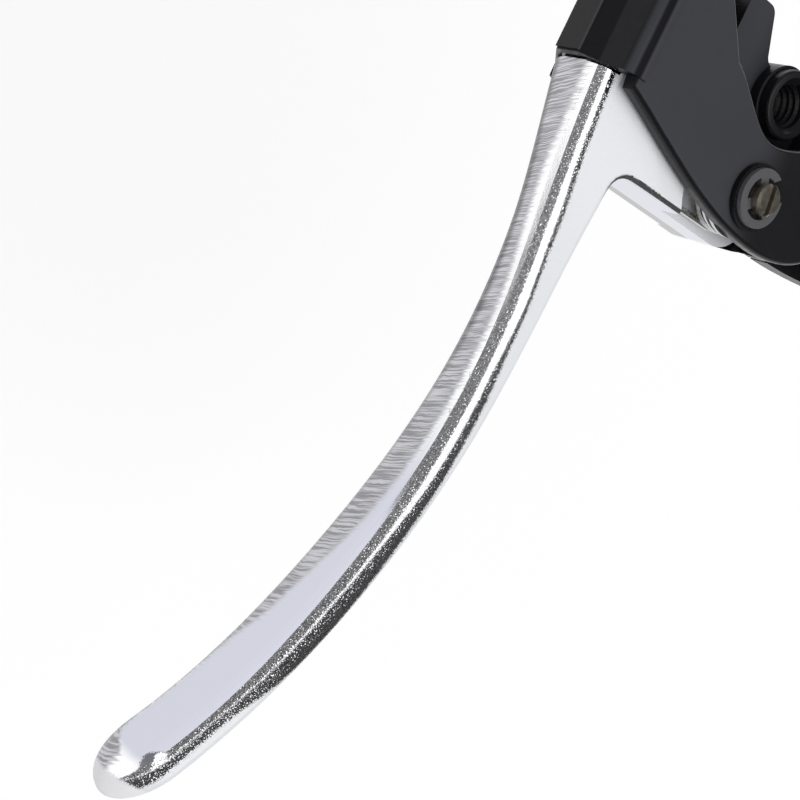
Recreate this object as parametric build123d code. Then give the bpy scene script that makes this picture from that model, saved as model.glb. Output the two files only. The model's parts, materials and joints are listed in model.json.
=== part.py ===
from build123d import *
import os
from math import cos, radians, sin

# Bicycle brake lever, left hand: a cast bracket clamped to the handlebar, and a blade that turns between
# its two cheeks. Millimetres. The origin is the centre of the handlebar clamp. X runs along the bar towards
# the middle of the bicycle, Y points forward and Z points up, along the pivot pin.

# Handlebar clamp
BAR_RADIUS = 11.1
BAR_CLEARANCE = 0.05
CLAMP_WALL = 4.0
CLAMP_WIDTH = 22.0
CLAMP_GAP = 0.8
LUG_WIDTH = 13.0
LUG_DEPTH = 10.0
LUG_EDGE = 3.4
LUG_ROUND = 3.0
BOLT_RADIUS = 2.5
BOLT_WALL = 3.2
BOLT_CLEARANCE = 0.25
THREAD_CLEARANCE = 0.05
BOLT_REACH = 7.5
BOLT_HEAD_RADIUS = 4.25
BOLT_HEAD_HEIGHT = 5.0
BOLT_SOCKET = 4.0
BOLT_SOCKET_DEPTH = 2.5
PLAIN_WASHER_RADIUS = 5.0
PLAIN_WASHER_HEIGHT = 1.0
SPRING_WASHER_RADIUS = 4.5
SPRING_WASHER_HEIGHT = 1.2
SPRING_WASHER_SPLIT = 0.8

# Pivot
PIVOT_FORWARD = 34.0
PIVOT_OUTBOARD = 9.5
PIN_RADIUS = 2.5
PIN_CLEARANCE = 0.02
PIN_HEAD_RADIUS = 4.4
PIN_HEAD_HEIGHT = 1.8
PIN_STAND = 1.7
PIN_SLOT_WIDTH = 0.9
PIN_SLOT_DEPTH = 0.9
PIN_SLOT_TURN = -79.0
PIN_CHAMFER = 0.4
CLIP_GROOVE_RADIUS = 2.0
CLIP_RADIUS = 4.65
CLIP_RIM = 1.35
CLIP_HEIGHT = 0.8
CLIP_MOUTH = 3.6
CLIP_TURN = -50.0
CLIP_PRONG_TURNS = (75, 180, -75)
CLIP_PRONG_WIDTH = 1.7
CLIP_CLEARANCE = 0.03
CLIP_WASHER_RADIUS = 5.2
CLIP_WASHER_HEIGHT = 1.0
BUSH_WALL = 1.5
THRUST_WASHER_RADIUS = 7.0
THRUST_WASHER_HEIGHT = 0.6
RUNNING_GAP = 0.1

# Bracket, measured from the pivot
CHEEK = 2.3
FRONT_FACE = 38.0
FRONT_WALL = 1.3
HOOD_WALL = 1.4
HOOD_LIP = 3.6
HOOD_STEP = 32.4
HOOD_REAR = 30.6
HOOD_RISE = 0.35
HOOD_ROUND = 3.2
HOOD_SHOULDER = 33.6
HOOD_UNDER = 31.0
CREASE_FORWARD = 36.0
CREASE_HEIGHT = 4.6
CREASE_ROUND = 1.5
PANEL_HEIGHT = 4.8
PANEL_RISE = 0.4
PANEL_MARGIN = 0.3
INBOARD_END = 29.5
INBOARD_WALL = 2.1
CAVITY_RADIUS = 13.9
NECK_FRONT = 14.5
SHELF_TOP = -1.0
SHELF_FRONT = 8.3
SHELF_ROUND = 1.8
SIDE_ROUND = 1.0
WAIST_ROUND = 0.6

# Threaded accessory boss on the shelf
BOSS_INBOARD = 17.6
BOSS_REAR = 6.5
BOSS_RADIUS = 5.6
BOSS_RISE = 3.8
BOSS_COLLAR = 0.5
BOSS_COLLAR_RISE = 1.8
BOSS_THREAD_RADIUS = 3.7
BOSS_CHAMFER = 0.7
BOSS_ROUND = 0.5

# Cable adjuster
CABLE_FORWARD = 28.5
CABLE_BOSS_RADIUS = 7.0
CABLE_BOSS_LENGTH = 6.5
ADJUSTER_RADIUS = 5.0
ADJUSTER_CLEARANCE = 0.06
LOCK_RING_RADIUS = 7.0
LOCK_RING_HEIGHT = 3.5
ADJUSTER_HEAD_RADIUS = 6.6
ADJUSTER_HEAD_LENGTH = 8.0
ADJUSTER_SHOW = 2.5
KNURL_COUNT = 20
KNURL_RADIUS = 0.55
HOUSING_RADIUS = 2.55
HOUSING_DEPTH = 10.0
CABLE_RADIUS = 1.0

# Reach screw, which stops the blade at rest
REACH_RADIUS = 2.0
REACH_SHOW = 2.0
REACH_SOCKET = 2.0
REACH_SOCKET_DEPTH = 2.0
REACH_NUT_FLATS = 7.0
REACH_NUT_HEIGHT = 3.2
REACH_NUT_GAP = 0.8
REACH_WALL = 3.2
STOP_GAP = 0.3

# Blade, measured from the pivot
ARM_HEIGHT = 13.0
ARM_INBOARD = 12.0
ARM_OUTBOARD = 8.0
HUB_TOP = 2.0
HUB_RADIUS = 9.5
HEEL_REAR = 10.0
HEEL_ROUND = 6.0
POCKET_RADIUS = 12.2
TIP_TURN = 40.0
BEVEL_WIDTH = 3.0
BEVEL_DEPTH = 1.4
BEVEL_ROUND = 3.0
FRONT_ROUND = 3.0
REAR_ROUND = 1.0
NOSE_BEVEL = 4.2
NIPPLE_RADIUS = 3.8
NIPPLE_INBOARD = 6.0
NIPPLE_TOP = 4.0
NIPPLE_WINDOW = 0.8
CABLE_SLOT = 2.6
PRESS_GAP = 0.01

# Return spring
WIRE_RADIUS = 0.55
WIRE_SIDES = 8
COIL_RADIUS = 6.3
COIL_PITCH = 1.3
COIL_LIFT = 0.45
COIL_START = 180.0
COIL_END = 930.0
LOWER_LEG = 9.5
UPPER_LEG = 11.5

ARM_TOP = ARM_HEIGHT / 2
INSIDE = ARM_TOP + RUNNING_GAP + THRUST_WASHER_HEIGHT
HALF = INSIDE + CHEEK
BORE = BAR_RADIUS + BAR_CLEARANCE
CLAMP_RADIUS = BORE + CLAMP_WALL
BOLT_OFFSET = BORE + BOLT_WALL + BOLT_RADIUS
BUSH_RADIUS = PIN_RADIUS + BUSH_WALL
PIVOT = Pos(-PIVOT_OUTBOARD, PIVOT_FORWARD, 0)
CLIP_TOP = HALF + CLIP_WASHER_HEIGHT + CLIP_HEIGHT
REACH_FORWARD = CABLE_FORWARD - CABLE_BOSS_RADIUS - REACH_NUT_FLATS / 2 - REACH_NUT_GAP
INBOARD_WALL_REAR = REACH_FORWARD - REACH_WALL
CLAMP_INBOARD = PIVOT_OUTBOARD + CLAMP_WIDTH / 2
CLAMP_OUTBOARD = PIVOT_OUTBOARD - CLAMP_WIDTH / 2


def prism(outline, bottom, top):
    """Solid between two heights on a closed outline in the XY plane."""
    return Pos(0, 0, bottom) * extrude(make_face(outline), top - bottom)


def rod(radius, start, end, axis="Z"):
    """Cylinder from start to end along one axis through the origin."""
    turn = {"X": Rot(0, 90, 0), "Y": Rot(-90, 0, 0), "Z": Rot(0, 0, 0)}[axis]
    return turn * Pos(0, 0, start) * Cylinder(radius, end - start, align=(Align.CENTER, Align.CENTER, Align.MIN))


def block(x, y, z):
    """Box between two corners, each given as a low and a high value."""
    return Pos(x[0], y[0], z[0]) * Box(
        x[1] - x[0], y[1] - y[0], z[1] - z[0], align=(Align.MIN, Align.MIN, Align.MIN)
    )


def ring(outer, inner, bottom, top):
    """Flat washer between two heights."""
    return rod(outer, bottom, top) - rod(inner, bottom, top)


# Blade

BLADE_FRONT = [(-120, 65), (-103, 49.8), (-76, 37.0), (-45, 29.9), (-20, 31.2), (-8, 33.7), (3.4, 36.1)]
BLADE_REAR = [(-11, 23.3), (-32, 23.3), (-60, 27.1), (-88, 36.7), (-106, 46.9), (-123, 60.5)]
BLADE_TIP = (-113.6, 58.6)
UPPER_WIDTHS = [(-96, 4.2), (-88, 3.75), (-68, 4.7), (-40, 5.8)]
LOWER_WIDTHS = [(-96, 5.2), (-86, 5.3), (-68, 6.2), (-40, 6.8)]
FLARE_START = (-110, ARM_TOP)
TIP_LENGTH = 9.0
TIP_UPPER = 6.6
TIP_LOWER = 7.1
ARM_NOSE = [(10.2, 32.2), (ARM_INBOARD, 26.5)]
ARM_WAIST = [(ARM_INBOARD, 13), (HUB_RADIUS, 8.5), (HUB_RADIUS, 0), (-ARM_OUTBOARD, 0), (-ARM_OUTBOARD, 21)]
FAR = 300


def blade_plan():
    """Blade and arm seen from above, taller than both."""
    front = Spline(*BLADE_FRONT)
    nose = ThreePointArc(BLADE_FRONT[-1], *ARM_NOSE)
    arm = Polyline(ARM_NOSE[-1], *ARM_WAIST)
    rear = Spline(*BLADE_REAR)
    corner = Spline(ARM_WAIST[-1], BLADE_REAR[0], tangents=[(0, 1), rear % 0])
    end = Line(BLADE_REAR[-1], BLADE_FRONT[0])
    return prism([front, nose, arm, corner, rear, end], -ARM_HEIGHT, ARM_HEIGHT)


def blade_half(widths, tip):
    """Half of the blade's front view, from its middle line out to one edge."""
    root = FLARE_START[0] - 50
    straight = Polyline((0, 0), (root, 0), (root, ARM_TOP), FLARE_START)
    shoulder = (-TIP_LENGTH, tip)
    side = Spline(FLARE_START, *widths, shoulder, tangents=[(1, 0), (1, 0)], tangent_scalars=[0.5, 1])
    end = EllipticalCenterArc((-TIP_LENGTH, 0), TIP_LENGTH, tip, arc_size=90)
    return make_face([straight, side, end])


def blade_widths():
    """Width of the blade along its length, flared at the root and rounded off at the tip."""
    upper = blade_half(UPPER_WIDTHS, TIP_UPPER)
    lower = mirror(blade_half(LOWER_WIDTHS, TIP_LOWER), about=Plane.XZ)
    along = Vector(-cos(radians(TIP_TURN)), sin(radians(TIP_TURN)), 0)
    across = Vector(sin(radians(TIP_TURN)), cos(radians(TIP_TURN)), 0)
    plane = Plane(origin=(*BLADE_TIP, 0), x_dir=along, z_dir=across)
    return extrude(plane * (upper + lower), FAR / 2, both=True)


def along_curve(edge, curve):
    """True for an edge that lies above or below a curve of the plan."""
    marks = [edge @ 0.1, edge @ 0.5, edge @ 0.9]
    level = abs((edge % 0.5).Z) < 0.9
    return level and max(curve.distance_to(Vector(p.X, p.Y, 0)) for p in marks) < 0.01


def rounded_blade():
    """The blade up to the nose of the arm, with a crowned front and rounded rear edges."""
    blank = blade_plan() & blade_widths()
    nose = Vector(*BLADE_FRONT[-1])
    arm = blank & block((nose.X - 0.1, FAR), (-FAR, FAR), (-FAR, FAR))
    blank -= arm
    front = Spline(*BLADE_FRONT)
    edges = [e for e in blank.edges() if along_curve(e, front)]
    face = blank.faces().sort_by(lambda f: f.distance_to(front @ 0.5))[0]
    blade = chamfer(edges, BEVEL_WIDTH, BEVEL_DEPTH, reference=face)
    bevel = [e for e in new_edges(blank, combined=blade) if e.length > BEVEL_WIDTH + BEVEL_DEPTH]
    on_front = [e for e in bevel if along_curve(e, front)]
    blade = fillet([e for e in bevel if e not in on_front], FRONT_ROUND)
    for curve, radius in ((Spline(*BLADE_REAR), REAR_ROUND), (front, BEVEL_ROUND)):
        blade = fillet([e for e in blade.edges() if along_curve(e, curve)], radius)
    rim = rod(abs(nose) + RUNNING_GAP, -ARM_TOP, ARM_TOP)
    return blade + (arm & chamfer(rim.edges().filter_by(GeomType.CIRCLE), NOSE_BEVEL))


def lever_blade():
    """The blade with its arm, hub, spring pocket and nipple seat, as one casting."""
    heel = Rectangle(HUB_RADIUS + ARM_OUTBOARD, HEEL_REAR, align=(Align.MAX, Align.MAX))
    heel = Pos(HUB_RADIUS, 0) * fillet(heel.vertices().group_by(Axis.Y)[0], HEEL_ROUND)
    lever = rounded_blade() + Pos(0, 0, -ARM_TOP) * extrude(heel, HUB_TOP + ARM_TOP)
    lever -= rod(POCKET_RADIUS, HUB_TOP, FAR)
    lever -= rod(BUSH_RADIUS + PRESS_GAP, -FAR, FAR)
    lever -= Pos(NIPPLE_INBOARD, CABLE_FORWARD, 0) * rod(NIPPLE_RADIUS, -FAR, NIPPLE_TOP)
    half_slot = CABLE_SLOT / 2
    lever -= block((NIPPLE_INBOARD, FAR), (CABLE_FORWARD - half_slot, FAR), (-half_slot, half_slot))
    return lever


def pivot_bush():
    """Bearing bush in the hub, which also carries the spring's coils."""
    return ring(BUSH_RADIUS, PIN_RADIUS + PIN_CLEARANCE, -ARM_TOP, INSIDE - THRUST_WASHER_HEIGHT - RUNNING_GAP)


# Bracket

OUTBOARD_EDGE = [(1.8, 32.0), (-3.9, 14.0), (-6.9, -2.5), (-5.2, -15.5), (CLAMP_OUTBOARD, BORE + 2 - PIVOT_FORWARD)]
NECK_REAR = BORE / 2 - PIVOT_FORWARD
NECK_CORNER = (CLAMP_OUTBOARD, NECK_REAR)
NECK_INBOARD = BOSS_INBOARD + 3.5
UPPER_WAIST = [(BOSS_INBOARD - 3, -NECK_FRONT), (9.4, -3.6), (8.4, 1.5), (11.7, 9.2), (14.9, 15.2)]
UPPER_SLOPE_END = (INBOARD_END, 29.4)
HOOD_OUTSIDE = [
    (HOOD_REAR, HALF),
    (HOOD_REAR + HOOD_RISE, HALF + HOOD_RISE),
    (HOOD_SHOULDER, HALF + HOOD_RISE),
    (CREASE_FORWARD, CREASE_HEIGHT),
    (FRONT_FACE, PANEL_HEIGHT / 2),
    (FRONT_FACE, -PANEL_HEIGHT / 2),
    (HOOD_UNDER, -HALF),
]
HOOD_INSIDE = [
    (HOOD_REAR, INSIDE),
    (HOOD_SHOULDER - HOOD_WALL, INSIDE),
    (CREASE_FORWARD - HOOD_WALL, CREASE_HEIGHT),
    (FRONT_FACE - FRONT_WALL, PANEL_HEIGHT / 2),
    (FRONT_FACE - FRONT_WALL, -PANEL_HEIGHT / 2),
    (HOOD_UNDER + CHEEK - HOOD_WALL, -INSIDE),
    (HOOD_REAR, -INSIDE),
]


def hood_corner():
    """Line round the hood's open end, to where the outboard edge starts."""
    return Polyline((INBOARD_END, FRONT_FACE), (HOOD_LIP, FRONT_FACE), (HOOD_LIP, HOOD_STEP), OUTBOARD_EDGE[0])


def lower_outline():
    """Outline of the lower cheek, which also carries the shelf and the neck."""
    flank = [(CLAMP_INBOARD, CLAMP_RADIUS - PIVOT_FORWARD), (NECK_INBOARD, -2 * BOSS_REAR), (NECK_INBOARD, -5)]
    rear = Polyline(OUTBOARD_EDGE[-1], NECK_CORNER, (CLAMP_INBOARD, NECK_REAR), *flank)
    corner = FilletPolyline(
        flank[-1], (NECK_INBOARD + 1, -1.0), (INBOARD_END, 2.6), (INBOARD_END, FRONT_FACE), radius=SHELF_ROUND
    )
    return [hood_corner(), Spline(*OUTBOARD_EDGE), rear, corner]


def upper_outline():
    """Outline of the upper cheek, cut back round the accessory boss."""
    rear = Polyline(
        OUTBOARD_EDGE[-1], NECK_CORNER, (CLAMP_INBOARD, NECK_REAR), (CLAMP_INBOARD, -NECK_FRONT), UPPER_WAIST[0]
    )
    front = Polyline(UPPER_WAIST[-1], UPPER_SLOPE_END, (INBOARD_END, FRONT_FACE))
    return [hood_corner(), Spline(*OUTBOARD_EDGE), rear, Spline(*UPPER_WAIST), front]


def clamp_half(side):
    """Half of the handlebar clamp: side is 1 for the saddle in front of the bar and -1 for the cap behind it."""
    split = side * CLAMP_GAP / 2
    depth = side * (CLAMP_GAP / 2 + LUG_DEPTH)
    top = BOLT_OFFSET + BOLT_RADIUS + LUG_EDGE
    lugs = block((-LUG_WIDTH / 2, LUG_WIDTH / 2), sorted((split, depth)), (-top, top))
    lugs = fillet(lugs.edges().filter_by(Axis.Y), LUG_ROUND)
    round_half = rod(CLAMP_RADIUS, -CLAMP_WIDTH / 2, CLAMP_WIDTH / 2, "X")
    round_half &= block((-FAR, FAR), sorted((split, side * FAR)), (-FAR, FAR))
    return round_half + lugs - rod(BORE, -FAR, FAR, "X")


def bolt_holes(radius):
    """The two clamp bolts' holes, along Y."""
    return [Pos(0, 0, side * BOLT_OFFSET) * rod(radius, -FAR, FAR, "Y") for side in (1, -1)]


def accessory_boss():
    """Boss with a collar at its foot."""
    top = SHELF_TOP + BOSS_RISE
    boss = rod(BOSS_RADIUS, -HALF, top)
    boss = fillet(boss.edges().group_by(Axis.Z)[-1], BOSS_ROUND)
    boss += rod(BOSS_RADIUS + BOSS_COLLAR, SHELF_TOP - CHEEK, SHELF_TOP + BOSS_COLLAR_RISE)
    return Pos(BOSS_INBOARD, -BOSS_REAR, 0) * boss


def boss_thread():
    """Hole of the accessory boss, chamfered at its mouth."""
    top = SHELF_TOP + BOSS_RISE
    mouth = Pos(0, 0, top - BOSS_CHAMFER) * Cone(
        BOSS_THREAD_RADIUS, BOSS_THREAD_RADIUS + BOSS_CHAMFER, BOSS_CHAMFER,
        align=(Align.CENTER, Align.CENTER, Align.MIN),
    )
    return Pos(BOSS_INBOARD, -BOSS_REAR, 0) * (rod(BOSS_THREAD_RADIUS, -FAR, top) + mouth)


def along_bar(section, start, end):
    """Solid along X on a section in the YZ plane."""
    return Pos(start, 0, 0) * extrude(Plane.YZ * make_face(Polyline(*section, close=True)), end - start)


def hood_outside():
    """Solid inside the hood's outer faces, longer than the bracket."""
    solid = along_bar([(-FAR, HALF), *HOOD_OUTSIDE, (-FAR, -HALF)], -FAR, FAR)
    for forward, radius in ((HOOD_SHOULDER, HOOD_ROUND), (CREASE_FORWARD, CREASE_ROUND)):
        edges = solid.edges().filter_by(Axis.X)
        solid = fillet([e for e in edges if abs(e.center().Y - forward) < 0.01], radius)
    return solid


def outer_edges(solid, *curves):
    """Edges of the cheeks' outer faces that follow one of the curves."""
    edges = [e for e in solid.edges() if abs(abs(e.center().Z) - HALF) < 0.01]
    return [e for e in edges if any(along_curve(e, curve) for curve in curves)]


def rounded_blank():
    """Solid that the cheeks, shelf and neck all lie in, rounded down its outboard side."""
    blank = prism(lower_outline(), -HALF, HALF)
    neck_side = Line(OUTBOARD_EDGE[-1], NECK_CORNER)
    return fillet(outer_edges(blank, Spline(*OUTBOARD_EDGE), neck_side), SIDE_ROUND)


def bracket_body():
    """Casting with both cheeks, hood, shelf, neck, clamp saddle and bosses."""
    slope = Line(UPPER_WAIST[-1], UPPER_SLOPE_END)
    upper = prism(upper_outline(), INSIDE, HALF)
    upper = fillet(outer_edges(upper, Spline(*UPPER_WAIST), slope), WAIST_ROUND)
    shell = upper + prism(lower_outline(), -HALF, -INSIDE)
    shell += block((INBOARD_END - INBOARD_WALL, INBOARD_END), (INBOARD_WALL_REAR, FRONT_FACE), (-HALF, HALF))
    neck = prism(lower_outline(), -HALF, HALF) & block((-FAR, FAR), (-FAR, -NECK_FRONT), (-FAR, FAR))
    shelf = prism(lower_outline(), -HALF, SHELF_TOP) & block((-FAR, FAR), (-FAR, SHELF_FRONT), (-FAR, FAR))
    shell += neck + (shelf - rod(CAVITY_RADIUS, -INSIDE, FAR))
    shell &= rounded_blank()
    outside = hood_outside()
    hood = outside & block((HOOD_LIP, INBOARD_END), (HOOD_REAR, FAR), (-FAR, FAR))
    shell = (shell & outside) + (hood - along_bar(HOOD_INSIDE, -FAR, FAR))
    panel = block(
        (HOOD_LIP + PANEL_MARGIN, INBOARD_END - PANEL_MARGIN),
        (FRONT_FACE - PANEL_RISE, FRONT_FACE + PANEL_RISE),
        (-PANEL_HEIGHT / 2, PANEL_HEIGHT / 2),
    )
    cable_axis = Pos(0, CABLE_FORWARD, 0)
    shell += panel
    shell += accessory_boss()
    shell += cable_axis * rod(CABLE_BOSS_RADIUS, INBOARD_END - INBOARD_WALL, INBOARD_END + CABLE_BOSS_LENGTH, "X")
    body = PIVOT * shell + clamp_half(1)
    inner_end = INBOARD_END - 2 * INBOARD_WALL
    holes = [
        rod(PIN_RADIUS + PIN_CLEARANCE, -FAR, FAR),
        boss_thread(),
        Pos(NIPPLE_INBOARD, CABLE_FORWARD, 0) * rod(NIPPLE_RADIUS + NIPPLE_WINDOW, -FAR, 0),
        cable_axis * rod(ADJUSTER_RADIUS + ADJUSTER_CLEARANCE, inner_end, FAR, "X"),
        Pos(0, REACH_FORWARD, 0) * rod(REACH_RADIUS + THREAD_CLEARANCE, inner_end, FAR, "X"),
    ]
    body -= [PIVOT * hole for hole in holes]
    body -= bolt_holes(BOLT_RADIUS + THREAD_CLEARANCE)
    return body - rod(BORE, -FAR, FAR, "X")


def clamp_cap():
    """Rear half of the handlebar clamp."""
    return clamp_half(-1) - bolt_holes(BOLT_RADIUS + BOLT_CLEARANCE)


# Fasteners

CAP_BACK = -CLAMP_GAP / 2 - LUG_DEPTH
SPRING_WASHER_BACK = CAP_BACK - PLAIN_WASHER_HEIGHT - SPRING_WASHER_HEIGHT


def along_y(part, start, side):
    """Turns a piece that stands on Z = 0 so that it points forward from start, on a clamp bolt's axis."""
    return Pos(0, start, side * BOLT_OFFSET) * Rot(-90, 0, 0) * part


def clamp_bolt(side):
    """Socket head screw through the cap into the saddle."""
    length = -SPRING_WASHER_BACK + CLAMP_GAP / 2 + BOLT_REACH
    bolt = rod(BOLT_HEAD_RADIUS, -BOLT_HEAD_HEIGHT, 0) + rod(BOLT_RADIUS, 0, length)
    socket = extrude(RegularPolygon(BOLT_SOCKET / 2, 6, major_radius=False), BOLT_SOCKET_DEPTH)
    return along_y(bolt - Pos(0, 0, -BOLT_HEAD_HEIGHT) * socket, SPRING_WASHER_BACK, side)


def clamp_plain_washer(side):
    """Flat washer on the cap's lug."""
    washer = ring(PLAIN_WASHER_RADIUS, BOLT_RADIUS + BOLT_CLEARANCE, 0, PLAIN_WASHER_HEIGHT)
    return along_y(washer, CAP_BACK - PLAIN_WASHER_HEIGHT, side)


def clamp_spring_washer(side):
    """Split washer under the bolt's head."""
    washer = ring(SPRING_WASHER_RADIUS, BOLT_RADIUS + BOLT_CLEARANCE, 0, SPRING_WASHER_HEIGHT)
    half_split = SPRING_WASHER_SPLIT / 2
    washer -= block((0, FAR), (-half_split, half_split), (-FAR, FAR))
    return along_y(washer, SPRING_WASHER_BACK, side)


def pivot_pin():
    """Headed pin with a clip groove and a slotted end."""
    top = CLIP_TOP + PIN_STAND
    pin = rod(PIN_RADIUS, -HALF, top)
    pin = chamfer(pin.edges().group_by(Axis.Z)[-1], PIN_CHAMFER)
    head = rod(PIN_HEAD_RADIUS, -HALF - PIN_HEAD_HEIGHT, -HALF)
    pin += fillet(head.edges().group_by(Axis.Z)[0], PIN_HEAD_HEIGHT / 2)
    groove_low = CLIP_TOP - CLIP_HEIGHT - CLIP_CLEARANCE
    pin -= ring(FAR, CLIP_GROOVE_RADIUS, groove_low, CLIP_TOP + CLIP_CLEARANCE)
    half_slot = PIN_SLOT_WIDTH / 2
    slot = block((-half_slot, half_slot), (-FAR, FAR), (top - PIN_SLOT_DEPTH, FAR))
    return pin - Rot(0, 0, PIN_SLOT_TURN) * slot


def pivot_e_clip():
    """Retaining clip with three prongs in the pin's groove, open on one side."""
    inner = CLIP_RADIUS - CLIP_RIM
    clip = Circle(CLIP_RADIUS) - Circle(inner)
    for turn in CLIP_PRONG_TURNS:
        clip += Rot(0, 0, turn) * Pos(inner, 0) * Rectangle(inner, CLIP_PRONG_WIDTH, align=(Align.MAX, Align.CENTER))
    clip -= Circle(CLIP_GROOVE_RADIUS + CLIP_CLEARANCE)
    clip -= Rectangle(FAR, CLIP_MOUTH, align=(Align.MIN, Align.CENTER))
    return Rot(0, 0, CLIP_TURN) * Pos(0, 0, CLIP_TOP - CLIP_HEIGHT) * extrude(clip, CLIP_HEIGHT)


def pivot_clip_washer():
    """Washer between the clip and the upper cheek."""
    return ring(CLIP_WASHER_RADIUS, PIN_RADIUS + PIN_CLEARANCE, HALF, HALF + CLIP_WASHER_HEIGHT)


def thrust_washer(side):
    """Washer inside one cheek: side is 1 for the upper cheek and -1 for the lower."""
    low, high = sorted((side * INSIDE, side * (INSIDE - THRUST_WASHER_HEIGHT)))
    return ring(THRUST_WASHER_RADIUS, PIN_RADIUS + PIN_CLEARANCE, low, high)


def return_spring():
    """Torsion spring round the bush, with a leg on the blade and a leg on the bracket's neck."""
    height = COIL_PITCH * (COIL_END - COIL_START) / 360
    low = HUB_TOP + WIRE_RADIUS + COIL_LIFT
    path = Helix(COIL_PITCH, height, COIL_RADIUS, center=(0, 0, low))
    wire = [
        Plane(origin=path @ end, x_dir=Vector((path @ end).X, (path @ end).Y, 0), z_dir=path % end)
        * RegularPolygon(WIRE_RADIUS, WIRE_SIDES)
        for end in (0, 1)
    ]
    spring = sweep(wire[0], path=path) + extrude(wire[0], -LOWER_LEG) + extrude(wire[1], UPPER_LEG)
    return Rot(0, 0, COIL_START) * spring


# Cable adjuster

LOCK_RING_START = INBOARD_END + CABLE_BOSS_LENGTH + RUNNING_GAP
ADJUSTER_HEAD_START = LOCK_RING_START + LOCK_RING_HEIGHT + ADJUSTER_SHOW


def knurled(radius, length):
    """Cylinder with grooves for the fingers round it, standing on Z = 0."""
    disc = Circle(radius)
    for index in range(KNURL_COUNT):
        disc -= Rot(0, 0, 360 * index / KNURL_COUNT) * Pos(radius, 0) * Circle(KNURL_RADIUS)
    return extrude(disc, length)


def on_cable_axis(part, start):
    """Turns a piece that stands on Z = 0 so that it points inboard from start, on the cable's axis."""
    return Pos(start, CABLE_FORWARD, 0) * Rot(0, 90, 0) * part


def cable_adjuster():
    """Hollow screw that takes the end of the cable's housing."""
    thread_length = ADJUSTER_HEAD_START - (INBOARD_END - INBOARD_WALL)
    adjuster = rod(ADJUSTER_RADIUS, 0, thread_length)
    adjuster += Pos(0, 0, thread_length) * knurled(ADJUSTER_HEAD_RADIUS, ADJUSTER_HEAD_LENGTH)
    end = thread_length + ADJUSTER_HEAD_LENGTH
    adjuster -= rod(CABLE_RADIUS, -FAR, FAR) + rod(HOUSING_RADIUS, end - HOUSING_DEPTH, FAR)
    return on_cable_axis(adjuster, INBOARD_END - INBOARD_WALL)


def adjuster_lock_ring():
    """Knurled ring that locks the adjuster against its boss."""
    lock = knurled(LOCK_RING_RADIUS, LOCK_RING_HEIGHT) - rod(ADJUSTER_RADIUS + ADJUSTER_CLEARANCE, -FAR, FAR)
    return on_cable_axis(lock, LOCK_RING_START)


# Reach screw

def reach_screw():
    """Headless screw whose tip stops the arm."""
    start = ARM_INBOARD + STOP_GAP
    end = INBOARD_END + REACH_NUT_HEIGHT + REACH_SHOW
    socket = extrude(RegularPolygon(REACH_SOCKET / 2, 6, major_radius=False), REACH_SOCKET_DEPTH)
    screw = rod(REACH_RADIUS, 0, end - start) - Pos(0, 0, end - start - REACH_SOCKET_DEPTH) * socket
    return Pos(start, REACH_FORWARD, 0) * Rot(0, 90, 0) * screw


def reach_lock_nut():
    """Hexagon nut on the reach screw, against the bracket's inboard wall."""
    nut = extrude(RegularPolygon(REACH_NUT_FLATS / 2, 6, major_radius=False), REACH_NUT_HEIGHT)
    nut -= rod(REACH_RADIUS + THREAD_CLEARANCE, -FAR, FAR)
    return Pos(INBOARD_END, REACH_FORWARD, 0) * Rot(0, 90, 0) * nut


# Assembly: pieces of the clamp are placed by themselves, all others from the pivot

def assembly():
    """All sub-parts by name, in place."""
    parts = {"bracket_body": bracket_body(), "clamp_cap": clamp_cap()}
    for name, side in (("upper", 1), ("lower", -1)):
        parts[f"clamp_bolt_{name}"] = clamp_bolt(side)
        parts[f"clamp_plain_washer_{name}"] = clamp_plain_washer(side)
        parts[f"clamp_spring_washer_{name}"] = clamp_spring_washer(side)
        parts[f"{name}_thrust_washer"] = PIVOT * thrust_washer(side)
    for make in (
        lever_blade, pivot_bush, pivot_pin, pivot_e_clip, pivot_clip_washer, return_spring,
        cable_adjuster, adjuster_lock_ring, reach_screw, reach_lock_nut,
    ):
        parts[make.__name__] = PIVOT * make()
    return parts


os.makedirs("parts", exist_ok=True)
for node, solid in assembly().items():
    export_step(solid, f"parts/{node}.step")
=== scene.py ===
import json
import math

import bmesh
import bpy
from mathutils import Matrix, Vector


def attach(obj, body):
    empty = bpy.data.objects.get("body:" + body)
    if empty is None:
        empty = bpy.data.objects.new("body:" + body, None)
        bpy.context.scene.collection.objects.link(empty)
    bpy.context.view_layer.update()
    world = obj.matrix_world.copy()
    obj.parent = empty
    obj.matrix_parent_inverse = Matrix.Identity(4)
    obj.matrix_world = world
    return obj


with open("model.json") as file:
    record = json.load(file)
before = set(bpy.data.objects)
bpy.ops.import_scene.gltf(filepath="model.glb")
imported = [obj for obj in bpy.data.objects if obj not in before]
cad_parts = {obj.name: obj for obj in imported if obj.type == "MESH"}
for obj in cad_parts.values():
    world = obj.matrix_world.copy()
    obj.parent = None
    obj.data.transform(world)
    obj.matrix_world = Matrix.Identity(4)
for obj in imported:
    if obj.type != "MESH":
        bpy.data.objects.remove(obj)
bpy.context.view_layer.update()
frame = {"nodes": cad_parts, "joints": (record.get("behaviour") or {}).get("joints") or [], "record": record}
nodes = frame["nodes"]

# The lever's pivot, which the camera and the finishes are measured from
PIVOT = Vector(next(j["pos_m"] for j in frame["joints"] if j["name"] == "lever_pivot"))

MM_PER_M = 1000

# Camera

CAMERA_FROM_PIVOT = Vector((-0.0490, 0.17393, 0.16344))
CAMERA_RIGHT = Vector((0.4343, -0.6950, 0.5730))
CAMERA_DOWN = Vector((-0.9007, -0.3277, 0.2852))
CAMERA_FORWARD = Vector((-0.0104, -0.6400, -0.7683))
CAMERA_LENS = 67.5
CAMERA_SENSOR = 36.0
CAMERA_NEAREST = 0.01


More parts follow.
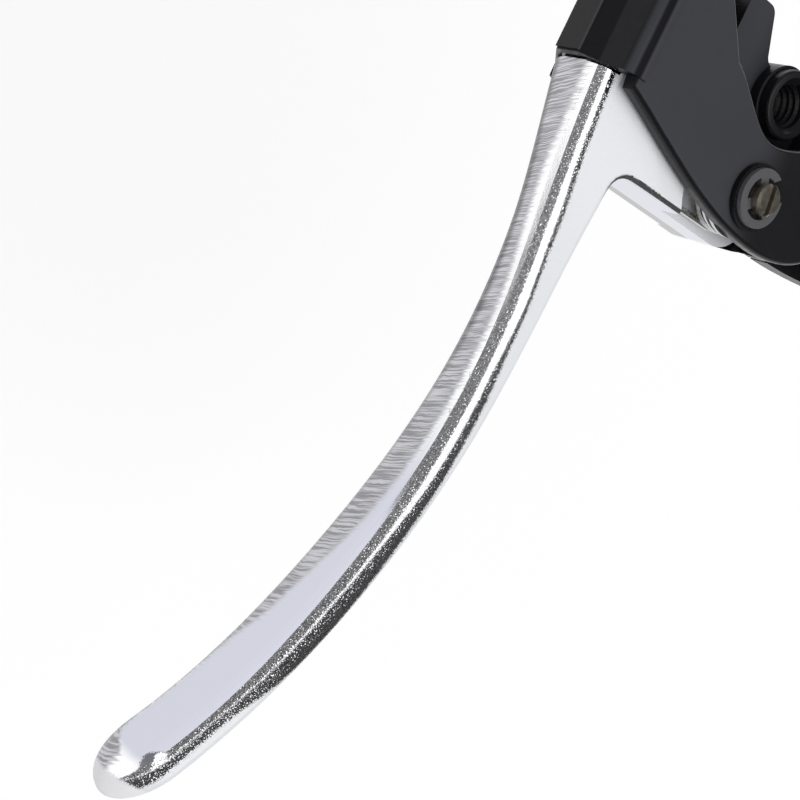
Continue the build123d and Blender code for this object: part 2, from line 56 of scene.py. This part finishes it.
def make_camera():
    data = bpy.data.cameras.new("camera")
    data.lens = CAMERA_LENS
    data.sensor_width = CAMERA_SENSOR
    data.clip_start = CAMERA_NEAREST
    camera = bpy.data.objects.new("camera", data)
    axes = Matrix((CAMERA_RIGHT, -CAMERA_DOWN, -CAMERA_FORWARD)).transposed().to_4x4()
    camera.matrix_world = Matrix.Translation(PIVOT + CAMERA_FROM_PIVOT) @ axes
    bpy.context.collection.objects.link(camera)
    bpy.context.scene.camera = camera


# Shader helpers

WHITE = (1, 1, 1, 1)
NOISE_RANGE = (0.3, 0.7)


class Tree:
    """A node tree, with short names for the nodes used here."""

    def __init__(self, tree):
        self.tree = tree
        self.place = self.add("ShaderNodeTexCoord")

    def add(self, kind, **settings):
        node = self.tree.nodes.new(kind)
        for key, value in settings.items():
            setattr(node, key, value)
        return node

    def put(self, socket, value):
        if isinstance(value, bpy.types.NodeSocket):
            self.tree.links.new(value, socket)
        else:
            socket.default_value = value

    def math(self, operation, a, b=0.0):
        node = self.add("ShaderNodeMath", operation=operation)
        self.put(node.inputs[0], a)
        self.put(node.inputs[1], b)
        return node.outputs[0]

    def plus(self, a, b):
        return self.math("ADD", a, b)

    def minus(self, a, b):
        return self.math("SUBTRACT", a, b)

    def times(self, a, b):
        return self.math("MULTIPLY", a, b)

    def larger(self, a, b):
        return self.math("MAXIMUM", a, b)

    def rest(self, share):
        """What a share leaves of the whole."""
        return self.minus(1.0, share)

    def millimetres(self, metres, start=0.0):
        return self.times(self.minus(metres, start), MM_PER_M)

    def ramp(self, value, low, high, start=0.0, end=1.0, smooth=True):
        """A value's change from low to high, stretched to a change from start to end."""
        node = self.add("ShaderNodeMapRange", interpolation_type="SMOOTHSTEP" if smooth else "LINEAR")
        for socket, number in zip(node.inputs[:5], (value, low, high, start, end)):
            self.put(socket, number)
        return node.outputs[0]

    def blend(self, share, start, end):
        """A share from 0 to 1, stretched evenly to a change from start to end."""
        return self.ramp(share, 0, 1, start, end, smooth=False)

    def until(self, value, low, high):
        """1 below low, and 0 above high."""
        return self.ramp(value, low, high, 1.0, 0.0)

    def band(self, value, start, full, fade, end):
        """1 from full to fade, and 0 outside start and end."""
        return self.times(self.ramp(value, start, full), self.until(value, fade, end))

    def spread(self, noise, start, end, smooth=True):
        """A noise texture, stretched so that most of it lies between start and end."""
        return self.ramp(noise, *NOISE_RANGE, start, end, smooth)

    def split(self, output):
        """The three components of one of the texture coordinates."""
        node = self.add("ShaderNodeSeparateXYZ")
        self.put(node.inputs[0], self.place.outputs[output])
        return node.outputs

    def join(self, *values):
        node = self.add("ShaderNodeCombineXYZ")
        for socket, value in zip(node.inputs, values):
            self.put(socket, value)
        return node.outputs[0]

    def dot(self, vector, way):
        node = self.add("ShaderNodeVectorMath", operation="DOT_PRODUCT")
        self.put(node.inputs[0], vector)
        self.put(node.inputs[1], way)
        return node.outputs["Value"]

    def curve(self, value, points):
        """A smooth line through a few points, which are sorted by their first number."""
        starts, heights = zip(*points)
        low, high = min(heights), max(heights)
        node = self.add("ShaderNodeFloatCurve")
        marks = node.mapping.curves[0].points
        while len(marks) < len(points):
            marks.new(0.5, 0.5)
        for mark, start, height in zip(marks, starts, heights):
            share = (start - starts[0]) / (starts[-1] - starts[0])
            mark.location = (share, (height - low) / (high - low))
        node.mapping.update()
        self.put(node.inputs["Value"], self.ramp(value, starts[0], starts[-1], smooth=False))
        return self.blend(node.outputs[0], low, high)

    def noise(self, vector, scale, detail=2.0, rough=0.5):
        node = self.add("ShaderNodeTexNoise")
        self.put(node.inputs["Vector"], vector)
        node.inputs["Scale"].default_value = scale
        node.inputs["Detail"].default_value = detail
        node.inputs["Roughness"].default_value = rough
        return node.outputs["Fac"]

    def color(self, value, low, high):
        """A mix of two colours, each given as three numbers or as a socket."""
        node = self.add("ShaderNodeMix", data_type="RGBA")
        self.put(node.inputs["Factor"], value)
        for name, color in (("A", low), ("B", high)):
            self.put(node.inputs[name], (*color, 1) if isinstance(color, tuple) else color)
        return node.outputs["Result"]

    def gray(self, shade, blue):
        """A gray of the given shade, with its blue a little stronger."""
        return self.join(shade, shade, self.times(shade, blue))

    def bump(self, height, distance, strength=1.0):
        node = self.add("ShaderNodeBump")
        self.put(node.inputs["Height"], height)
        node.inputs["Distance"].default_value = distance
        node.inputs["Strength"].default_value = strength
        return node.outputs[0]

    def turn_up(self, normal, share):
        """A normal turned part of the way to the object's own up direction."""
        up = self.add("ShaderNodeVectorTransform", vector_type="NORMAL")
        up.convert_from = "OBJECT"
        up.convert_to = "WORLD"
        up.inputs[0].default_value = (0, 0, 1)
        mix = self.add("ShaderNodeMix", data_type="VECTOR")
        self.put(mix.inputs["Factor"], share)
        self.put(mix.inputs["A"], normal)
        self.put(mix.inputs["B"], up.outputs[0])
        node = self.add("ShaderNodeVectorMath", operation="NORMALIZE")
        self.put(node.inputs[0], mix.outputs["Result"])
        return node.outputs[0]


class Material(Tree):
    """A material's node tree, and its shader."""

    def __init__(self, name):
        self.material = bpy.data.materials.new(name)
        self.material.use_nodes = True
        super().__init__(self.material.node_tree)
        self.shader = self.tree.nodes["Principled BSDF"]

    def set(self, **values):
        for key, value in values.items():
            self.put(self.shader.inputs[key.replace("_", " ")], value)


# Plain metals: name, darkest and lightest colour, roughness, metallic share, and the pieces made of it

METALS = (
    ("zinc_steel", (0.24, 0.22, 0.18), (0.34, 0.31, 0.26), 0.36, 1.0, ("pivot_pin",)),
    ("black_oxide", (0.03, 0.03, 0.033), (0.05, 0.05, 0.055), 0.45, 1.0, (
        "pivot_clip_washer", "reach_screw")),
    ("dull_oxide", (0.10, 0.10, 0.107), (0.14, 0.14, 0.148), 0.45, 0.3, ("pivot_e_clip",)),
    ("bright_steel", (0.55, 0.55, 0.56), (0.65, 0.65, 0.66), 0.3, 1.0, (
        "upper_thrust_washer", "lower_thrust_washer", "return_spring", "reach_lock_nut",
        "clamp_bolt_upper", "clamp_bolt_lower", "clamp_plain_washer_upper", "clamp_plain_washer_lower",
        "clamp_spring_washer_upper", "clamp_spring_washer_lower")),
    ("bronze", (0.5, 0.38, 0.2), (0.6, 0.46, 0.26), 0.35, 1.0, ("pivot_bush",)),
    ("satin_aluminium", (0.6, 0.6, 0.62), (0.7, 0.7, 0.72), 0.38, 1.0, (
        "cable_adjuster", "adjuster_lock_ring")),
)
METAL_GRAIN = 2500
METAL_GRAIN_DEPTH = 0.00001
METAL_UNEVENNESS = 0.06


def simple_metal(name, low, high, roughness, metallic):
    """Plain metal with a fine grain in its colour and roughness."""
    n = Material(name)
    grain = n.noise(n.place.outputs["Object"], METAL_GRAIN, detail=3)
    n.set(Base_Color=n.color(grain, low, high), Metallic=metallic)
    n.set(Roughness=n.spread(grain, roughness - METAL_UNEVENNESS, roughness + METAL_UNEVENNESS))
    n.set(Normal=n.bump(grain, METAL_GRAIN_DEPTH, strength=0.3))
    return n.material


# Black paint: its colours, deep black and lighter ones that paint light, and its shine, how far up its top
# faces look, and its zones in millimetres in front of the pivot, where the painted light on the tops fades
# and where the hood has its painted shade line and its painted lip highlight

PAINT_DEEP = ((0.007, 0.007, 0.009), (0.011, 0.011, 0.013))
# The second pair is lighter: painted light on the tops and a painted highlight on the hood's lip
PAINT_LIT = ((0.042, 0.043, 0.049), (0.051, 0.052, 0.059))
PAINT_SHINE = 0.22
# Shine on the painted shade line along the hood, dulled to darken it
SHADE_LINE_SHINE = 0.04
PAINT_ROUGHNESS = (0.26, 0.34)
SATIN_ROUGHER = 0.12
PAINT_PEEL = 900
PAINT_PEEL_DEPTH = 0.00003
PAINT_CLOUD = 60
TOP_FACING = (0.90, 0.985)
LIP_FACING = (0.2, 0.4)
# Where the painted light on the tops fades, and the share of it left behind the pivot
PAINTED_LIGHT_FADE = (-5, 4)
PAINTED_LIGHT_BEHIND = 0.04
# Where along the hood the painted shade line lies
HOOD_SHADE_LINE = (31.7, 32.3, 32.9, 33.4)
# Where along the hood the painted highlight on the lip lies
HOOD_LIP_HIGHLIGHT = (33.0, 33.5, 33.9, 34.5)


def black_paint():
    """Black paint, rougher on its tops, with painted light on the tops in front of the pivot and a painted
    highlight on the hood's lip.

    A painted shade line runs along the hood between its top and its lip: no painted light there, and a
    dulled shine.
    """
    n = Material("black_paint")
    peel = n.noise(n.place.outputs["Object"], PAINT_PEEL, detail=3)
    cloud = n.noise(n.place.outputs["Object"], PAINT_CLOUD, detail=2)
    up = n.split("Normal")["Z"]
    forward = n.millimetres(n.split("Object")["Y"], PIVOT.y)
    top = n.ramp(up, *TOP_FACING)
    # Painted shade line along the hood
    shade_line = n.band(forward, *HOOD_SHADE_LINE)
    # Painted highlight on the hood's lip, where it faces up enough
    lip = n.times(n.band(forward, *HOOD_LIP_HIGHLIGHT), n.ramp(up, *LIP_FACING))
    # Painted light: tops lighter in front of the pivot, less behind it, none on the painted shade line, plus
    # the painted lip highlight
    painted_light = n.times(top, n.ramp(forward, *PAINTED_LIGHT_FADE, PAINTED_LIGHT_BEHIND, 1.0))
    painted_light = n.larger(n.minus(painted_light, shade_line), lip)
    n.set(Base_Color=n.color(painted_light, n.color(cloud, *PAINT_DEEP), n.color(cloud, *PAINT_LIT)))
    n.set(Roughness=n.plus(n.spread(peel, *PAINT_ROUGHNESS), n.times(top, SATIN_ROUGHER)))
    n.set(Specular_IOR_Level=n.blend(shade_line, PAINT_SHINE, SHADE_LINE_SHINE))
    n.set(Normal=n.bump(peel, PAINT_PEEL_DEPTH, strength=0.2))
    return n.material


# Lines along the blade: each point has a place along it, in millimetres from the pivot, and a value there
# Millimetres by which the front lies forward of the pivot
BLADE_FRONT = [(-120, 65), (-103, 49.8), (-76, 37), (-45, 29.9), (-20, 31.2), (-8, 33.7), (3.4, 36.1)]
# Height in millimetres up to which the front is brushed, and height of its lower edge
BRUSH_LIMIT = [(-120, 1.5), (-111, 0.5), (-108, -4.6), (-103, -5.2), (-86, -2.4), (-79, -1.4), (-63, 0.8),
               (-31, 0.7), (-17, 0.0), (-5, 1.5), (4, 2.8)]
BRUSH_EDGE = [(-120, -5.6), (-70, -5.2), (-49, -4.6), (-31, -3.0), (-17, -2.9), (-6, -3.7), (4, -4.5)]
# Millimetres behind the front at which the flat of the polished edge starts, and then the sandy side
FACET_START = [(-120, 1.3), (-95, 1.4), (-82, 1.6), (-72, 1.9), (-46, 1.95), (-32, 2.6), (-16, 2.35),
               (4, 2.2)]
SAND_START = [(-120, 3.6), (-111, 3.0), (-104, 2.4), (-96, 3.2), (-88, 4.1), (-80, 4.3), (-64, 3.7),
              (-46, 3.2), (-32, 3.2), (4, 2.9)]
# Share by which the polished edge turns up
EDGE_TURN = [(-120, 0.0), (-80, 0.0), (-62, 0.08), (-47, 0.17), (-30, 0.07), (4, 0.06)]

# Zones along the blade, in millimetres from the pivot: the arm's start, the change to the mirror colour that
# paints a brighter reflection, the nose with that painted brighter reflection, the nose's sandy rim, and
# where the grains and the brushing change their shade
ARM_START = (-13, -9)
MIRROR_CHANGE = (-64, -44)
LIT_NOSE = (-110.5, -109)
NOSE_RIM = (-113.0, -112.4)
GRAINS_CHANGE = (-80, -30)
BRUSH_CHANGE = (-60, -25)

# Zones across the blade, in millimetres: the height below which the arm's lower rim has a painted dark
# reflection, how far behind the front the brushing ends, and how far above the lower edge the brushing is
# darker
ARM_LOW_RIM_REFLECTION = (-3.4, -2.6)
BRUSH_DEPTH = (5, 8)
DARK_BRUSHING = 1.8

# Soft edges of the finishes, in millimetres, and how far the grains and the brushed lines shift them
SAND_EDGE = (-0.15, 0.35)
FACET_EDGE = (-0.12, 0.12)
BRUSH_END = (-0.8, 0.5)
GRAIN_SHIFT = 0.3
LINE_SHIFT = 0.7

# The two flats ground beside the nose: a point on the first, the direction across them, where across them
# the first starts, the second starts and both end, half their length, and how much each step turns up
NOSE_FLAT = (-109.35, 4.5)
NOSE_ACROSS = (0.53, 0.85)
NOSE_FLAT_START = (-0.8, -0.6)
NOSE_FLAT_STEP = (0.6, 0.75)
NOSE_FLAT_END = (1.7, 1.9)
NOSE_FLAT_HALF = (1.5, 1.8)
NOSE_FLAT_TURN = 0.25

# How far up a face looks on the sandy sides, where the brushing ends below, where the polished edge
# starts to turn up, and where its grains start in its colour (a painted dark reflection), its turning and
# its relief
SIDE_FACING = (0.93, 0.98)
UNDERSIDE_FACING = (-0.97, -0.93)
TURN_FACING = (0.03, 0.3)
GRAINS_FACING = (0.46, 0.52)
SPARKS_FACING = (0.46, 0.53)
RELIEF_FACING = (0.40, 0.52)
# How far to the side the flank of the arm looks
FLANK_FACING = (-0.98, -0.85)

# Textures of the blade, in features per metre, and the ranges in which they go from dark to light
GRAIN = 6000
GRAIN_RANGE = (0.35, 0.65)
SPARKS = 5600
SPARK_RANGE = (0.58, 0.74)
SAND = 2600
# Brushing: the direction across its lines, their wavering in features per metre and in millimetres, how
# often its lines and its patches change per millimetre across and up, and how much the patches count
BRUSH_WAY = (0.90, 0.33, -0.285)
BRUSH_WAVER = 700
BRUSH_WAVE = 0.06
BRUSH_LINES = (4.0, 0.14)
LINE_RANGE = (0.40, 0.60)
BRUSH_PATCHES = (0.6, 0.3)
PATCH_SHARE = 0.10

# Colours of the blade
# The polished metal in a shaded and a lit copy: a painted dimmer reflection and a painted brighter
# reflection
MIRROR_SHADED = (0.64, 0.65, 0.73)
MIRROR_LIT = (0.99, 0.99, 1.0)
# Colour of the painted dark reflection on the arm's lower rim
LOW_RIM_REFLECTION = (0.30, 0.30, 0.32)
SANDY = ((0.83, 0.84, 0.87), (0.90, 0.91, 0.93))
SANDY_RIM = (0.96, 0.96, 0.98)
# Grays towards the tip and towards the root (the grains' darker grays a painted dark reflection), the change
# that a brushed line makes, and the share of blue
GRAIN_DARK_REFLECTION = (0.22, 0.5)
GRAIN_LIGHT = 0.98
GRAIN_BLUE = 1.03
EDGE_SHADE = (0.30, 0.16)
INNER_SHADE = (0.44, 0.48)
LINE_SHADE = (1.32, 0.66)
BRUSH_BLUE = 1.06

# Shine of the finishes
MIRROR_ROUGHNESS = 0.10
BRUSH_ROUGHNESS = 0.30
SAND_ROUGHER = 0.5
SAND_METALLIC = 0.2

# Relief of the finishes: its depth in metres, and the share that each has of it
RELIEF_DEPTH = 0.00004
GRAIN_RELIEF = 0.35
LINE_RELIEF = 0.5
SAND_RELIEF = 0.8

# How much a single grain turns up in front of the flat, and how much of the edge's turn moves the grains
SPARK_TURN = 0.6
TURN_RAISES = 0.9


def nose_flats(n, along, height, rough_edge):
    """How much the two small flats beside the nose turn up: the second twice as much as the first."""
    gap = n.join(n.minus(along, NOSE_FLAT[0]), n.minus(height, NOSE_FLAT[1]), 0.0)
    across = n.plus(n.dot(gap, (*NOSE_ACROSS, 0)), rough_edge)
    length = n.math("ABSOLUTE", n.dot(gap, (-NOSE_ACROSS[1], NOSE_ACROSS[0], 0)))
    first = n.ramp(across, *NOSE_FLAT_START, 0, NOSE_FLAT_TURN)
    second = n.ramp(across, *NOSE_FLAT_STEP, 0, NOSE_FLAT_TURN)
    end = n.ramp(across, *NOSE_FLAT_END, 0, 2 * NOSE_FLAT_TURN)
    turned = n.minus(n.plus(first, second), end)
    return n.times(turned, n.until(n.plus(length, rough_edge), *NOSE_FLAT_HALF))


def blade_metal():
    """Cast aluminium: sandy sides, polished rounded edges, and a front brushed across its length.

    The brushing covers the lower half of the front at the root and thins to the lower edge near the tip.
    """
    n = Material("blade_metal")
    place = n.place.outputs["Object"]
    x, y, z = n.split("Object")
    along = n.millimetres(x, PIVOT.x)
    forward = n.millimetres(y, PIVOT.y)
    height = n.millimetres(z, PIVOT.z)
    sideways, _, up = n.split("Normal")

    # Textures
    grain = n.noise(place, GRAIN, detail=2, rough=0.6)
    sand = n.noise(place, SAND, detail=3, rough=0.6)
    sparks = n.ramp(n.noise(place, SPARKS, detail=1), *SPARK_RANGE)
    waver = n.spread(n.noise(place, BRUSH_WAVER, detail=1), -BRUSH_WAVE, BRUSH_WAVE)
    belt = n.plus(n.millimetres(n.dot(place, BRUSH_WAY)), waver)
    lines, patches = (
        n.noise(n.join(n.times(belt, across), 0.0, n.times(height, upward)), 1.0, detail=1)
        for across, upward in (BRUSH_LINES, BRUSH_PATCHES))
    rough_edge = n.spread(grain, -GRAIN_SHIFT, GRAIN_SHIFT, smooth=False)

    # Where each finish lies
    depth = n.minus(n.plus(n.curve(along, BLADE_FRONT), rough_edge), forward)
    on_arm = n.ramp(along, *ARM_START)
    flank = n.times(on_arm, n.until(sideways, *FLANK_FACING))
    turn = n.curve(along, EDGE_TURN)
    raised = n.plus(up, n.times(turn, TURN_RAISES))
    side_facing = n.larger(n.ramp(n.math("ABSOLUTE", up), *SIDE_FACING), n.rest(on_arm))
    behind = n.minus(depth, n.curve(along, SAND_START))
    side = n.times(side_facing, n.ramp(behind, *SAND_EDGE))
    side = n.larger(side, n.until(n.plus(along, rough_edge), *NOSE_RIM))
    ragged = n.plus(height, n.spread(lines, -LINE_SHIFT, LINE_SHIFT, smooth=False))
    brushed = n.ramp(n.minus(n.curve(along, BRUSH_LIMIT), ragged), *BRUSH_END)
    brushed = n.times(brushed, n.ramp(up, *UNDERSIDE_FACING))
    brushed = n.times(brushed, n.until(depth, *BRUSH_DEPTH))
    inner = n.ramp(n.minus(height, n.curve(along, BRUSH_EDGE)), 0, DARK_BRUSHING)
    inner = n.plus(inner, n.spread(patches, -PATCH_SHARE, PATCH_SHARE))

    # Colours and shine
    # Painted brighter reflection: the lit copy of the polished metal toward the root and on the nose, not on
    # the flank
    mirror_lit = n.larger(n.ramp(along, *MIRROR_CHANGE), n.until(along, *LIT_NOSE))
    mirror_lit = n.times(mirror_lit, n.until(flank, 0, 1))
    mirror = n.color(mirror_lit, MIRROR_SHADED, MIRROR_LIT)
    # Grains on the up-facing polished edge: a real grain, darkened as a painted dark reflection of the room
    grain_and_dark_reflection = n.ramp(along, *GRAINS_CHANGE, *GRAIN_DARK_REFLECTION, smooth=False)
    grain_and_dark_reflection = n.ramp(grain, *GRAIN_RANGE, grain_and_dark_reflection, GRAIN_LIGHT)
    polished = n.color(n.ramp(raised, *GRAINS_FACING), mirror, n.gray(grain_and_dark_reflection, GRAIN_BLUE))
    # Painted dark reflection along the arm's lower rim
    polished = n.color(n.times(flank, n.until(height, *ARM_LOW_RIM_REFLECTION)), polished, LOW_RIM_REFLECTION)
    edge_shade = n.ramp(along, *BRUSH_CHANGE, *EDGE_SHADE)
    inner_shade = n.ramp(along, *BRUSH_CHANGE, *INNER_SHADE)
    shade = n.blend(inner, edge_shade, inner_shade)
    shade = n.times(shade, n.ramp(lines, *LINE_RANGE, *LINE_SHADE))
    face = n.color(brushed, polished, n.gray(shade, BRUSH_BLUE))
    sandy = n.color(n.until(along, *NOSE_RIM), n.color(sand, *SANDY), SANDY_RIM)
    roughness = n.blend(brushed, MIRROR_ROUGHNESS, BRUSH_ROUGHNESS)
    n.set(Base_Color=n.color(side, face, sandy))
    n.set(Metallic=n.blend(side, 1.0, SAND_METALLIC))
    n.set(Roughness=n.plus(roughness, n.blend(side, 0.0, SAND_ROUGHER)))

    # Relief of the grains, the brushing and the sand
    relief = n.times(grain, n.ramp(raised, *RELIEF_FACING, 0.0, GRAIN_RELIEF, smooth=False))
    relief = n.plus(relief, n.times(n.times(lines, brushed), LINE_RELIEF))
    relief = n.plus(relief, n.times(n.times(sand, side), SAND_RELIEF))

    # What turns up on the polished edge: single grains before its flat, the flat, and the nose's flats
    facet = n.ramp(n.minus(depth, n.curve(along, FACET_START)), *FACET_EDGE)
    turned = n.color(facet, n.times(sparks, SPARK_TURN), n.rest(sparks))
    turned = n.times(n.ramp(raised, *SPARKS_FACING), turned)
    turned = n.larger(turned, n.times(turn, n.ramp(up, *TURN_FACING)))
    turned = n.larger(turned, nose_flats(n, along, height, rough_edge))
    turned = n.times(turned, n.rest(side))
    n.set(Normal=n.turn_up(n.bump(relief, RELIEF_DEPTH), turned))
    return n.material


# Stage and light

FLOOR_HEIGHT = -0.20
FLOOR_SIZE = 30
FLOOR_COLOR = (0.9, 0.9, 0.9, 1)
FLOOR_GLOW = 0.21
FLOOR_GLOW_FAR = 0.50
FLOOR_POOL = 1.1
SOFTBOX_PLACE = (0, 0.05, 0.9)
SOFTBOX_SIZE = 1.05
SOFTBOX_POWER = 4.8
ROOM_DARK = 0.26
ROOM_BEHIND = 0.09
ROOM_CHANGE = (-0.2, 0.3)
ROOM_LIGHT = 0.55
BACKDROP = 1.0
HORIZON_LIGHT = 1.08
HORIZON = math.sin(math.radians(8))
HORIZON_BLUR = 0.02


def seen_directly(n):
    """1 for camera, mirror and glass rays, which see the floor, and 0 for rays that light the object."""
    rays = n.add("ShaderNodeLightPath").outputs
    seen = n.larger(rays["Is Camera Ray"], rays["Is Glossy Ray"])
    return n.larger(seen, rays["Is Transmission Ray"])


def make_floor():
    """A white floor, which glows less in a pool round the object than far away."""
    bpy.ops.mesh.primitive_plane_add(size=FLOOR_SIZE, location=(0, 0, FLOOR_HEIGHT))
    floor = bpy.context.object
    floor.name = "floor"
    n = Material("floor_white")
    place = n.place.outputs["Object"]
    spread = n.plus(n.math("DIVIDE", n.dot(place, place), FLOOR_POOL ** 2), 1.0)
    pool = n.math("DIVIDE", FLOOR_GLOW_FAR - FLOOR_GLOW, n.times(spread, spread))
    glow = n.minus(FLOOR_GLOW_FAR, pool)
    n.set(Base_Color=FLOOR_COLOR, Roughness=1.0, Specular_IOR_Level=0.0)
    n.set(Emission_Color=WHITE, Emission_Strength=n.times(seen_directly(n), glow))
    floor.data.materials.append(n.material)


def make_softbox():
    data = bpy.data.lights.new("softbox", "AREA")
    data.shape = "DISK"
    data.size = SOFTBOX_SIZE
    data.energy = SOFTBOX_POWER
    light = bpy.data.objects.new("softbox", data)
    light.location = SOFTBOX_PLACE
    bpy.context.collection.objects.link(light)


def make_world():
    """An even room for the light, which polished metal sees as a white horizon under dark walls."""
    world = bpy.data.worlds.new("studio")
    world.use_nodes = True
    n = Tree(world.node_tree)
    rays = n.add("ShaderNodeLightPath").outputs
    way = n.split("Generated")

    def light(strength):
        node = n.add("ShaderNodeBackground")
        n.put(node.inputs["Color"], WHITE)
        n.put(node.inputs["Strength"], strength)
        return node.outputs[0]

    def choose(ray, other, shown):
        node = n.add("ShaderNodeMixShader")
        for socket, value in zip(node.inputs, (rays[ray], other, shown)):
            n.put(socket, value)
        return node.outputs[0]

    dark = n.ramp(way["Y"], *ROOM_CHANGE, ROOM_BEHIND, ROOM_DARK)
    walls = n.ramp(way["Z"], HORIZON - HORIZON_BLUR, HORIZON + HORIZON_BLUR, HORIZON_LIGHT, dark)
    room = choose("Is Glossy Ray", light(ROOM_LIGHT), light(walls))
    n.put(n.tree.nodes["World Output"].inputs["Surface"], choose("Is Camera Ray", room, light(BACKDROP)))
    bpy.context.scene.world = world


# Thread of the accessory boss, in metres; its crest and foot are half widths, in pitches

THREAD_PITCH = 0.00125
THREAD_DEPTH = 0.00045
THREAD_SINK = 0.0001
THREAD_MARGIN = 0.0012
THREAD_CREST = 0.072
THREAD_FOOT = 0.45
THREAD_TURNS = 7
THREAD_STEPS = 28


def boss_thread():
    """Turns of the thread in the accessory boss, as one ridge that winds down its wall from the mouth."""
    mount = next(m for m in frame["record"]["mounts"] if m["name"] == "accessory_boss")
    middle = Vector(mount["pos_m"])
    wall = mount["dims"]["r_mm"] / MM_PER_M
    top = middle.z + mount["dims"]["length_mm"] / MM_PER_M / 2 - THREAD_MARGIN
    foot = wall + THREAD_SINK
    crest = wall - THREAD_DEPTH
    section = ((foot, -THREAD_FOOT), (crest, -THREAD_CREST), (crest, THREAD_CREST), (foot, THREAD_FOOT))
    mesh = bmesh.new()
    rings = []
    for step in range(THREAD_TURNS * THREAD_STEPS + 1):
        turn = step / THREAD_STEPS
        angle = 2 * math.pi * turn
        ring = []
        for radius, offset in section:
            x = middle.x + radius * math.cos(angle)
            y = middle.y + radius * math.sin(angle)
            z = top - (turn - offset) * THREAD_PITCH
            ring.append(mesh.verts.new((x, y, z)))
        rings.append(ring)
    for ring, following in zip(rings, rings[1:]):
        for corner in range(len(section)):
            after = (corner + 1) % len(section)
            mesh.faces.new((ring[corner], ring[after], following[after], following[corner]))
    mesh.faces.new(rings[0])
    mesh.faces.new(rings[-1])
    bmesh.ops.recalc_face_normals(mesh, faces=mesh.faces)
    data = bpy.data.meshes.new("boss_thread")
    mesh.to_mesh(data)
    mesh.free()
    piece = bpy.data.objects.new("boss_thread", data)
    bpy.context.collection.objects.link(piece)
    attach(piece, "bracket")
    return piece


# Materials onto the nodes

def dress(material, names):
    for name in names:
        data = nodes[name].data
        data.materials.clear()
        data.materials.append(material)


make_camera()
make_floor()
make_world()
make_softbox()
dress(blade_metal(), ("lever_blade",))
paint = black_paint()
dress(paint, ("bracket_body", "clamp_cap"))
boss_thread().data.materials.append(paint)
for *look, pieces in METALS:
    dress(simple_metal(*look), pieces)

bpy.context.scene.view_settings.view_transform = "Standard"
